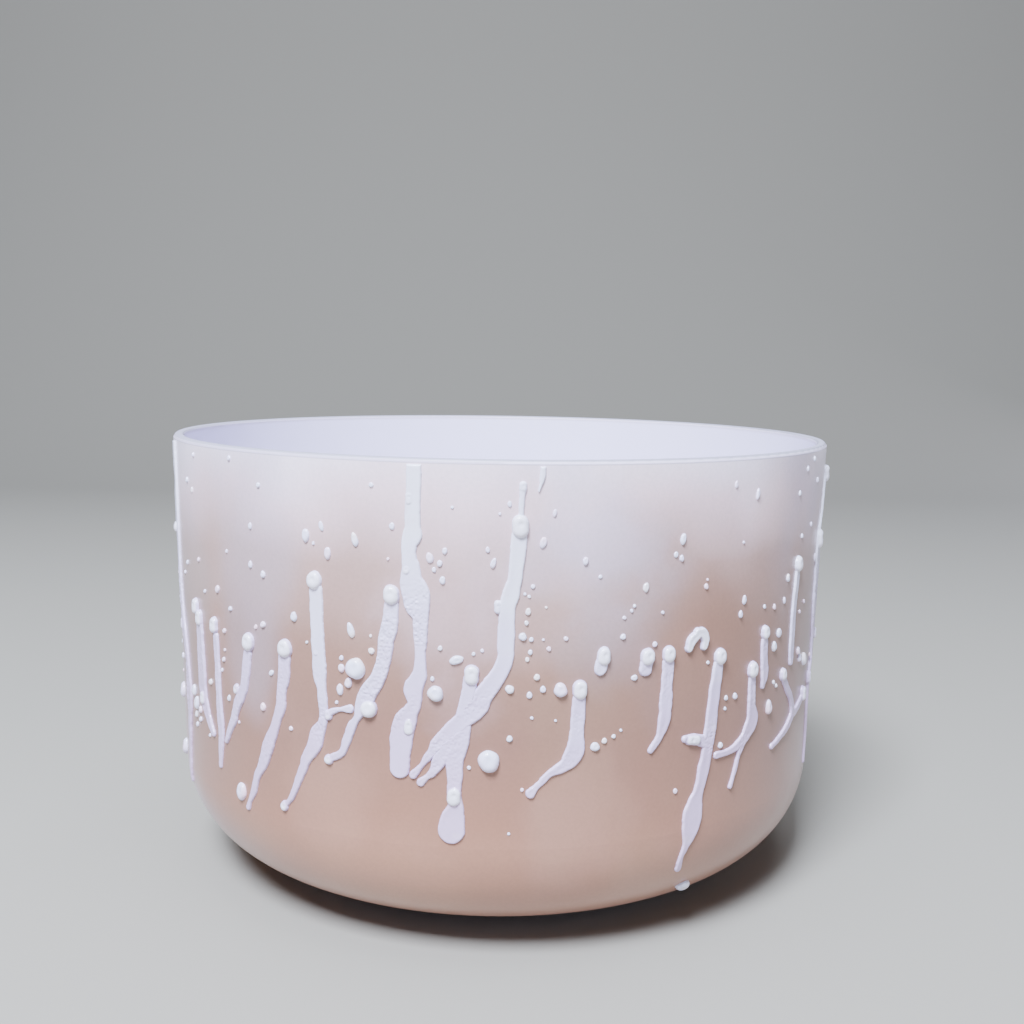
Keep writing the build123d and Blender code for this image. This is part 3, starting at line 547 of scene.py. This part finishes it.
def back_drip(pattern, azimuth, rise, mirrored):
    """The runs and beads of a drip on the back."""
    runs, beads = FRONT_DRIPS[pattern]
    head = (beads or runs[0])[0][0]
    turn = azimuth + head if mirrored else azimuth - head
    return [moved(run, turn, rise, mirrored) for run in runs], moved(beads, turn, rise, mirrored)


def strokes_of(runs, beads):
    """What a drip covers: (start, end, width) for each stretch of its runs and for each bead."""
    stretches = [(start, end, max(start[2], end[2])) for run in runs for start, end in zip(run, run[1:])]
    return stretches + [(place, place, place[3]) for place in beads]


def distance_between(place, start, end):
    """How far a place on the wall is from the stretch from start to end, with the wall unrolled."""
    first, along = (
        complex(RIM_DIAMETER / 2 * radians(turn), rise)
        for turn, rise in (
            ((start[0] - place[0] + 180) % 360 - 180, start[1] - place[1]),
            (end[0] - start[0], end[1] - start[1]),
        )
    )
    share = min(max(-(first * along.conjugate()).real / abs(along) ** 2, 0), 1) if along else 0
    return abs(first + along * share)


def droplet_groups(drips):
    """The droplets that lie clear of the drips and of each other, by the sixth of the bowl they are on."""
    everywhere = list(FRONT_DROPLETS)
    for turn in BACK_TURNS:
        everywhere += moved(FRONT_DROPLETS, turn, BACK_RAISE, True)
    taken = [stroke for runs, beads in drips for stroke in strokes_of(runs, beads)]
    groups = {name: [] for name in SECTORS}
    for place in everywhere:
        clear = all(
            distance_between(place, start, end) > (place[3] + width) / 2 + DROPLET_GAP
            for start, end, width in taken
        )
        if clear and place[1] + place[3] < LIP - COAT_BARE_LIP:
            groups[SECTORS[round(place[0] / (360 / len(SECTORS))) % len(SECTORS)]].append(place)
            taken.append((place, place, place[3]))
    return groups


# ---------------------------------------------------------------- materials


class Nodes:
    """A material's node tree, with short calls for the nodes used here."""

    def __init__(self, name):
        self.material = bpy.data.materials.new(name)
        self.material.use_nodes = True
        self.tree = self.material.node_tree
        self.shader = next(node for node in self.tree.nodes if node.type == "BSDF_PRINCIPLED")
        self.place = self.add("ShaderNodeTexCoord").outputs["Object"]

    def add(self, kind, **inputs):
        node = self.tree.nodes.new(kind)
        for name, value in inputs.items():
            self.feed(node.inputs[name.replace("_", " ")], value)
        return node

    def feed(self, socket, value):
        if isinstance(value, bpy.types.NodeSocket):
            self.tree.links.new(value, socket)
        else:
            socket.default_value = value

    def set(self, **inputs):
        for name, value in inputs.items():
            self.feed(self.shader.inputs[name.replace("_", " ")], value)

    def noise(self, scale, detail=3.0, roughness=0.5, place=None):
        node = self.add("ShaderNodeTexNoise", Scale=scale, Detail=detail, Roughness=roughness)
        self.feed(node.inputs["Vector"], place or self.place)
        return node.outputs["Fac"]

    def stretched(self, x, y, z):
        mapping = self.add("ShaderNodeMapping")
        mapping.inputs["Scale"].default_value = (x, y, z)
        self.feed(mapping.inputs["Vector"], self.place)
        return mapping.outputs["Vector"]

    def ranged(self, value, low, high, start=0.0, end=1.0):
        node = self.add("ShaderNodeMapRange")
        self.feed(node.inputs["Value"], value)
        for name, number in (("From Min", low), ("From Max", high), ("To Min", start), ("To Max", end)):
            node.inputs[name].default_value = number
        node.interpolation_type = "SMOOTHSTEP"
        return node.outputs["Result"]

    def ramp(self, value, stops):
        node = self.add("ShaderNodeValToRGB")
        elements = node.color_ramp.elements
        for extra in stops[2:]:
            elements.new(extra[0])
        for element, (position, colour) in zip(elements, stops):
            element.position = position
            element.color = (*colour, 1)
        self.feed(node.inputs["Fac"], value)
        return node.outputs["Color"]

    def mix(self, share, first, second, blend="MIX"):
        node = self.add("ShaderNodeMix")
        node.data_type = "RGBA"
        node.blend_type = blend
        for socket, value in zip((node.inputs[0], node.inputs[6], node.inputs[7]), (share, first, second)):
            self.feed(socket, (*value, 1) if isinstance(value, tuple) and len(value) == 3 else value)
        return node.outputs[2]

    def math(self, operation, first, second):
        node = self.add("ShaderNodeMath")
        node.operation = operation
        self.feed(node.inputs[0], first)
        self.feed(node.inputs[1], second)
        return node.outputs[0]

    def bump(self, height, strength, distance, normal=None):
        node = self.add("ShaderNodeBump", Strength=strength, Distance=distance)
        self.feed(node.inputs["Height"], height)
        if normal is not None:
            self.feed(node.inputs["Normal"], normal)
        return node.outputs["Normal"]


# Broad soft clouds in the pearl: (azimuth, height, radius in millimetres, strength, colour)
CLOUDS = [
    (14, 138, 26, 0.4, (0.60, 0.56, 0.76)),
    (16, 112, 22, 0.3, (0.42, 0.36, 0.44)),
    (-8, 112, 24, 0.4, (0.74, 0.52, 0.58)),
    (36, 106, 26, 0.5, (0.30, 0.14, 0.09)),
    (20, 96, 24, 0.4, (0.30, 0.15, 0.10)),
    (-26, 60, 22, 0.35, (0.50, 0.26, 0.18)),
    (-60, 120, 26, 0.3, (0.44, 0.34, 0.32)),
    (47, 150, 20, 0.35, (0.90, 0.62, 0.62)),
    (62, 150, 16, 0.3, (0.60, 0.54, 0.74)),
    (100, 120, 26, 0.35, (0.56, 0.50, 0.68)),
    (150, 95, 28, 0.4, (0.32, 0.17, 0.12)),
    (-160, 110, 26, 0.35, (0.72, 0.54, 0.60)),
    (-115, 90, 28, 0.4, (0.40, 0.21, 0.15)),
]


def cloud(n, azimuth, height, size, strength):
    """How much a soft cloud in the pearl covers each place."""
    from_centre = n.add("ShaderNodeVectorMath")
    from_centre.operation = "DISTANCE"
    n.feed(from_centre.inputs[0], n.place)
    from_centre.inputs[1].default_value = on_wall(azimuth, height, 0).tolist()
    ragged = n.ranged(n.noise(35, 3), 0.25, 0.75, -0.35 * size * MM, 0.35 * size * MM)
    distance = n.math("ADD", from_centre.outputs["Value"], ragged)
    return n.ranged(distance, 0.2 * size * MM, 1.25 * size * MM, strength, 0)


def pearl_lacquer():
    """Satin pearl: lavender white at the rim to peach beige at the foot, with faint iridescent clouds."""
    n = Nodes("pearl_lacquer")
    height = n.add("ShaderNodeSeparateXYZ", Vector=n.place).outputs["Z"]
    drift = n.math("MULTIPLY_ADD", n.noise(14, 2), 0.05)
    drift.node.inputs[2].default_value = -0.025
    level = n.ranged(n.math("ADD", height, drift), 0.0, 0.17)
    level.node.interpolation_type = "LINEAR"
    base = n.ramp(
        level,
        [
            (0.04, (0.50, 0.25, 0.155)),
            (0.28, (0.36, 0.165, 0.105)),
            (0.47, (0.295, 0.142, 0.10)),
            (0.62, (0.325, 0.168, 0.12)),
            (0.76, (0.48, 0.295, 0.26)),
            (0.88, (0.84, 0.60, 0.66)),
            (0.98, (1.0, 0.86, 1.0)),
        ],
    )
    blotches = n.noise(22, 3, 0.55, n.stretched(1, 1, 0.7))
    base = n.mix(n.ranged(blotches, 0.52, 0.72, 0, 0.22), base, (0.56, 0.30, 0.24))
    blotches = n.noise(17, 3, 0.55, n.stretched(1.3, 1.3, 0.6))
    base = n.mix(n.ranged(blotches, 0.55, 0.72, 0, 0.1), base, (0.44, 0.29, 0.17))
    blotches = n.noise(11, 2, 0.5, n.stretched(1.6, 1.6, 0.8))
    blotches = n.math("MULTIPLY", blotches, n.ranged(height, 0.04, 0.14, 0.75, 1))
    base = n.mix(n.ranged(blotches, 0.54, 0.7, 0, 0.3), base, (0.50, 0.46, 0.62))
    for azimuth, level, size, strength, tint in CLOUDS:
        base = n.mix(cloud(n, azimuth, level, size, strength), base, tint)
    speckle = n.ranged(n.noise(900, 2), 0.3, 0.7, 0.97, 1.03)
    base = n.mix(1.0, base, speckle, "MULTIPLY")
    # Painted shade: a dark grey line along the coat's top edge, standing for the shade at the small step
    # where the coat ends below the bare lip.
    base = n.mix(n.ranged(height, 0.1645, 0.1649, 0, 0.6), base, (0.42, 0.38, 0.48))
    roughness = n.ranged(n.noise(30, 4), 0.3, 0.7, 0.30, 0.40)
    n.set(Base_Color=base, Roughness=roughness, IOR=1.5, Coat_Weight=0.5, Coat_Roughness=0.22)
    n.set(Coat_IOR=1.5, Sheen_Weight=0.12, Sheen_Roughness=0.4)
    n.shader.inputs["Sheen Tint"].default_value = (0.7529, 0.7305, 0.9131, 1)
    wavy = n.bump(n.noise(45, 2, 0.5), 0.25, 0.0006)
    n.set(Normal=n.bump(n.noise(1300, 2), 0.10, 0.00005, wavy))
    return n.material


def frosted_quartz():
    """Milky frosted quartz, lavender white, with a ground lip."""
    n = Nodes("frosted_quartz")
    height = n.add("ShaderNodeSeparateXYZ", Vector=n.place).outputs["Z"]
    level = n.ranged(height, 0.01, 0.166)
    cloudy = n.ranged(n.noise(16, 3), 0.35, 0.65, -0.06, 0.06)
    base = n.ramp(
        n.math("ADD", level, cloudy),
        [(0.0, (0.64, 0.58, 0.76)), (0.6, (0.76, 0.70, 0.90)), (1.0, (0.85, 0.79, 1.0))],
    )
    ground = n.ranged(height, 0.1656, 0.1659)
    base = n.mix(n.ranged(height, 0.1640, 0.1652), base, (0.70, 0.62, 0.76))
    base = n.mix(ground, base, (0.40, 0.37, 0.46))
    grain = n.noise(2400, 2, 0.6)
    streaks = n.noise(90, 4, 0.6, n.stretched(1, 1, 0.08))
    roughness = n.math("ADD", n.ranged(streaks, 0.3, 0.7, 0.40, 0.52), n.ranged(ground, 0, 1, 0, 0.12))
    n.set(Base_Color=base, Roughness=roughness, IOR=1.46)
    n.set(Normal=n.bump(grain, 0.12, 0.00006))
    return n.material


def relief_lacquer():
    """Satin white lacquer with a blue lavender pearl, whitest where it stands out most."""
    n = Nodes("relief_lacquer")
    split = n.add("ShaderNodeSeparateXYZ", Vector=n.place)
    flat = n.add("ShaderNodeVectorMath", Vector=n.place)
    flat.operation = "MULTIPLY"
    flat.inputs[1].default_value = (1, 1, 0)
    length = n.add("ShaderNodeVectorMath", Vector=flat.outputs["Vector"])
    length.operation = "LENGTH"
    radius, height = length.outputs["Value"], split.outputs["Z"]
    lean = n.math("MULTIPLY", n.math("SUBTRACT", LIP * MM, height), tan(WALL_LEAN))
    wall = n.math("SUBTRACT", RIM_DIAMETER / 2 * MM, lean)
    stands_out = n.math("SUBTRACT", radius, wall)
    raised = n.ranged(stands_out, 0.8 * MM, 1.25 * MM)
    drift = n.ranged(n.noise(24, 3, 0.6), 0.3, 0.7, -0.16, 0.16)
    base = n.ramp(
        n.math("ADD", n.ranged(height, 0.03, 0.17), drift),
        [
            (0.10, (0.68, 0.50, 0.74)),
            (0.35, (0.70, 0.56, 0.82)),
            (0.60, (0.76, 0.68, 0.92)),
            (0.90, (0.86, 0.84, 1.0)),
        ],
    )
    base = n.mix(n.ranged(n.noise(160, 2), 0.60, 0.72, 0, 0.35), base, (0.80, 0.66, 0.80))
    base = n.mix(raised, base, (0.93, 0.88, 1.0))
    n.set(Base_Color=base, Roughness=n.ranged(n.noise(60, 3), 0.3, 0.7, 0.26, 0.36), IOR=1.5)
    n.set(Coat_Weight=0.4, Coat_Roughness=0.12, Coat_IOR=1.5)
    fine = n.bump(n.noise(1500, 3, 0.6), 0.10, 0.00006)
    n.set(Normal=n.bump(n.noise(420, 3, 0.55), 0.22, 0.00018, fine))
    return n.material


def bead_white():
    """The same lacquer where it stands as a whiter droplet, with faint pink, lavender and blue ones."""
    n = Nodes("relief_lacquer_beads")
    base = n.ramp(
        n.noise(70, 1),
        [
            (0.34, (0.95, 0.68, 0.80)),
            (0.45, (0.84, 0.76, 0.98)),
            (0.56, (0.80, 0.80, 1.0)),
            (0.66, (0.94, 0.82, 0.84)),
        ],
    )
    n.set(Base_Color=base, Roughness=n.ranged(n.noise(90, 3), 0.3, 0.7, 0.24, 0.34), IOR=1.5)
    n.set(Coat_Weight=0.4, Coat_Roughness=0.1, Coat_IOR=1.5)
    n.set(Normal=n.bump(n.noise(700, 3, 0.6), 0.18, 0.00012))
    return n.material


def black_rubber():
    """Matt black rubber with a faint moulded grain and dust."""
    n = Nodes("black_rubber")
    dust = n.ranged(n.noise(120, 4, 0.6), 0.45, 0.7, 0, 0.25)
    base = n.mix(dust, (0.012, 0.012, 0.013), (0.05, 0.05, 0.05))
    n.set(Base_Color=base, Roughness=n.ranged(n.noise(300, 3), 0.3, 0.7, 0.6, 0.8))
    n.set(Normal=n.bump(n.noise(900, 3), 0.3, 0.0001))
    return n.material


def paint(piece, *materials):
    piece.data.materials.clear()
    for material in materials:
        piece.data.materials.append(material)


# ---------------------------------------------------------------- the bowl

materials = {
    "quartz_bowl": frosted_quartz(),
    "pearl_coat": pearl_lacquer(),
    "rubber_o_ring": black_rubber(),
}
for node, material in materials.items():
    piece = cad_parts[node]
    for slot in piece.material_slots:
        slot.material = material

lacquer_material = relief_lacquer()
bead_material = bead_white()
drips = dict(FRONT_DRIPS)
kinds = {name: name[-2:] for name in FRONT_DRIPS}
for number, entry in enumerate(BACK_DRIPS, 1):
    drips[f"back_drip_{number:02}"] = back_drip(*entry)
    kinds[f"back_drip_{number:02}"] = entry[0][-2:]
for node, (runs, beads) in drips.items():
    over = CROSSINGS.get(node)
    piece = drip_mesh(node + "_lacquer", runs, beads, kinds[node], drips[over][0] if over else None)
    paint(piece, lacquer_material)
    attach(piece, "bowl")
    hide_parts(node)

for sector, places in droplet_groups(drips.values()).items():
    vertices, faces, count = [], [], 0
    for place in places:
        more, links = droplet(*place)
        vertices.append(more)
        faces.append(links + count)
        count += len(more)
    piece = mesh_from(f"droplets_{sector}_lacquer", np.vstack(vertices), np.vstack(faces))
    paint(piece, bead_material)
    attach(piece, "bowl")
    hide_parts(f"droplets_{sector}")


# ---------------------------------------------------------------- floor, light, camera


def floor():
    """A plain pale floor that curves up far behind."""
    profile = [(-1.6, 0), (1.2, 0)]
    profile += [(1.2 + 0.8 * sin(t), 0.8 - 0.8 * cos(t)) for t in np.linspace(0.1, np.pi / 2, 12)]
    profile += [(2.0, 2.6)]
    vertices = np.array([(x, y, z) for y, z in profile for x in (-2.6, 2.6)], float)
    count = len(profile) - 1
    faces = np.array([(2 * i, 2 * i + 1, 2 * i + 3, 2 * i + 2) for i in range(count)])
    sweep = mesh_from("studio_floor", vertices, faces)
    material = bpy.data.materials.new("studio_floor")
    material.use_nodes = True
    shader = next(node for node in material.node_tree.nodes if node.type == "BSDF_PRINCIPLED")
    shader.inputs["Base Color"].default_value = (0.31, 0.283, 0.24, 1)
    shader.inputs["Roughness"].default_value = 0.9
    paint(sweep, material)


def area_light(name, place, aim, size, power, colour):
    data = bpy.data.lights.new(name, "AREA")
    data.shape = "RECTANGLE"
    data.size, data.size_y = size
    data.energy = power
    data.color = colour
    light = bpy.data.objects.new(name, data)
    light.location = place
    light.rotation_euler = (Vector(aim) - Vector(place)).to_track_quat("-Z", "Y").to_euler()
    bpy.context.scene.collection.objects.link(light)


floor()
area_light("key", (-0.38, -1.12, 1.55), (0, 0, 0.1), (0.6, 0.6), 165, (0.71, 0.81, 1.0))
area_light("overhead", (0.0, -0.1, 1.7), (0, 0, 0.1), (1.2, 1.2), 28, (0.74, 0.84, 1.0))
area_light("strip_right", (0.95, -1.35, 0.55), (0, 0, 0.1), (0.12, 1.0), 4, (0.70, 0.80, 1.0))
area_light("strip_behind", (1.15, 1.35, 0.45), (0, 0, 0.1), (0.25, 0.9), 3, (0.70, 0.76, 1.0))

world = bpy.data.worlds.new("studio")
world.use_nodes = True
background = world.node_tree.nodes["Background"]
background.inputs["Color"].default_value = (0.74, 0.79, 0.90, 1)
background.inputs["Strength"].default_value = 0.12
bpy.context.scene.world = world

camera_data = bpy.data.cameras.new("camera")
camera_data.lens = 42.1875
camera_data.sensor_width = 36
camera = bpy.data.objects.new("camera", camera_data)
aim = Matrix.Rotation(radians(-0.58), 3, "Z") @ Matrix.Rotation(radians(82.43), 3, "X")
aim = aim @ Matrix.Rotation(radians(0.87), 3, "Z")
camera.matrix_world = Matrix.Translation((0, -0.483, 0.198)) @ aim.to_4x4()
bpy.context.scene.collection.objects.link(camera)
bpy.context.scene.camera = camera
